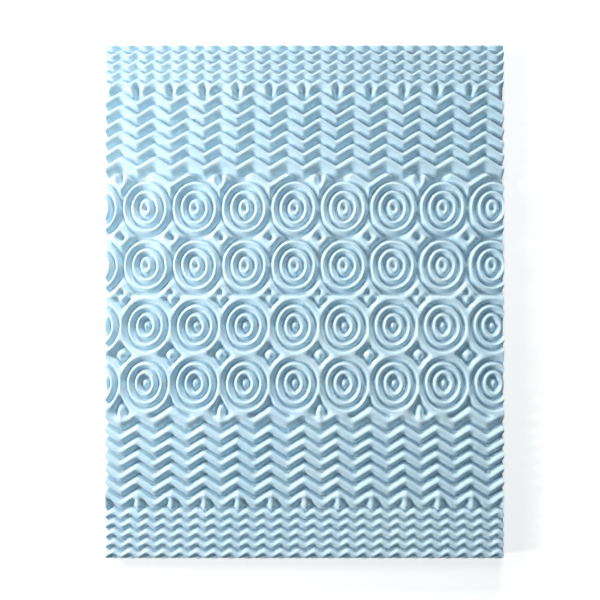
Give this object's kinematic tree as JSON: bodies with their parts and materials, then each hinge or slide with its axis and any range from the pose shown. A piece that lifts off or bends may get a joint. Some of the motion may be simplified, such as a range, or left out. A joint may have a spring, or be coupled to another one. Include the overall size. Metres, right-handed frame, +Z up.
{
  "type": "mattress topper",
  "caption": "One-piece convoluted foam mattress topper, flat underneath, with zones of ring and zigzag relief cut into its upper face.",
  "frame": {"origin": "middle of the flat underside, on the surface the topper lies on", "axes": "+X across the width, +Y along the length, +Z up out of the cut relief"},
  "size_m": [1.524, 1.965, 0.076],
  "materials": {
    "foam": "pale blue open-cell foam, matte, bare cut surface"
  },
  "bodies": {
    "root": {"foam_topper": "foam"}
  },
  "joints": []
}
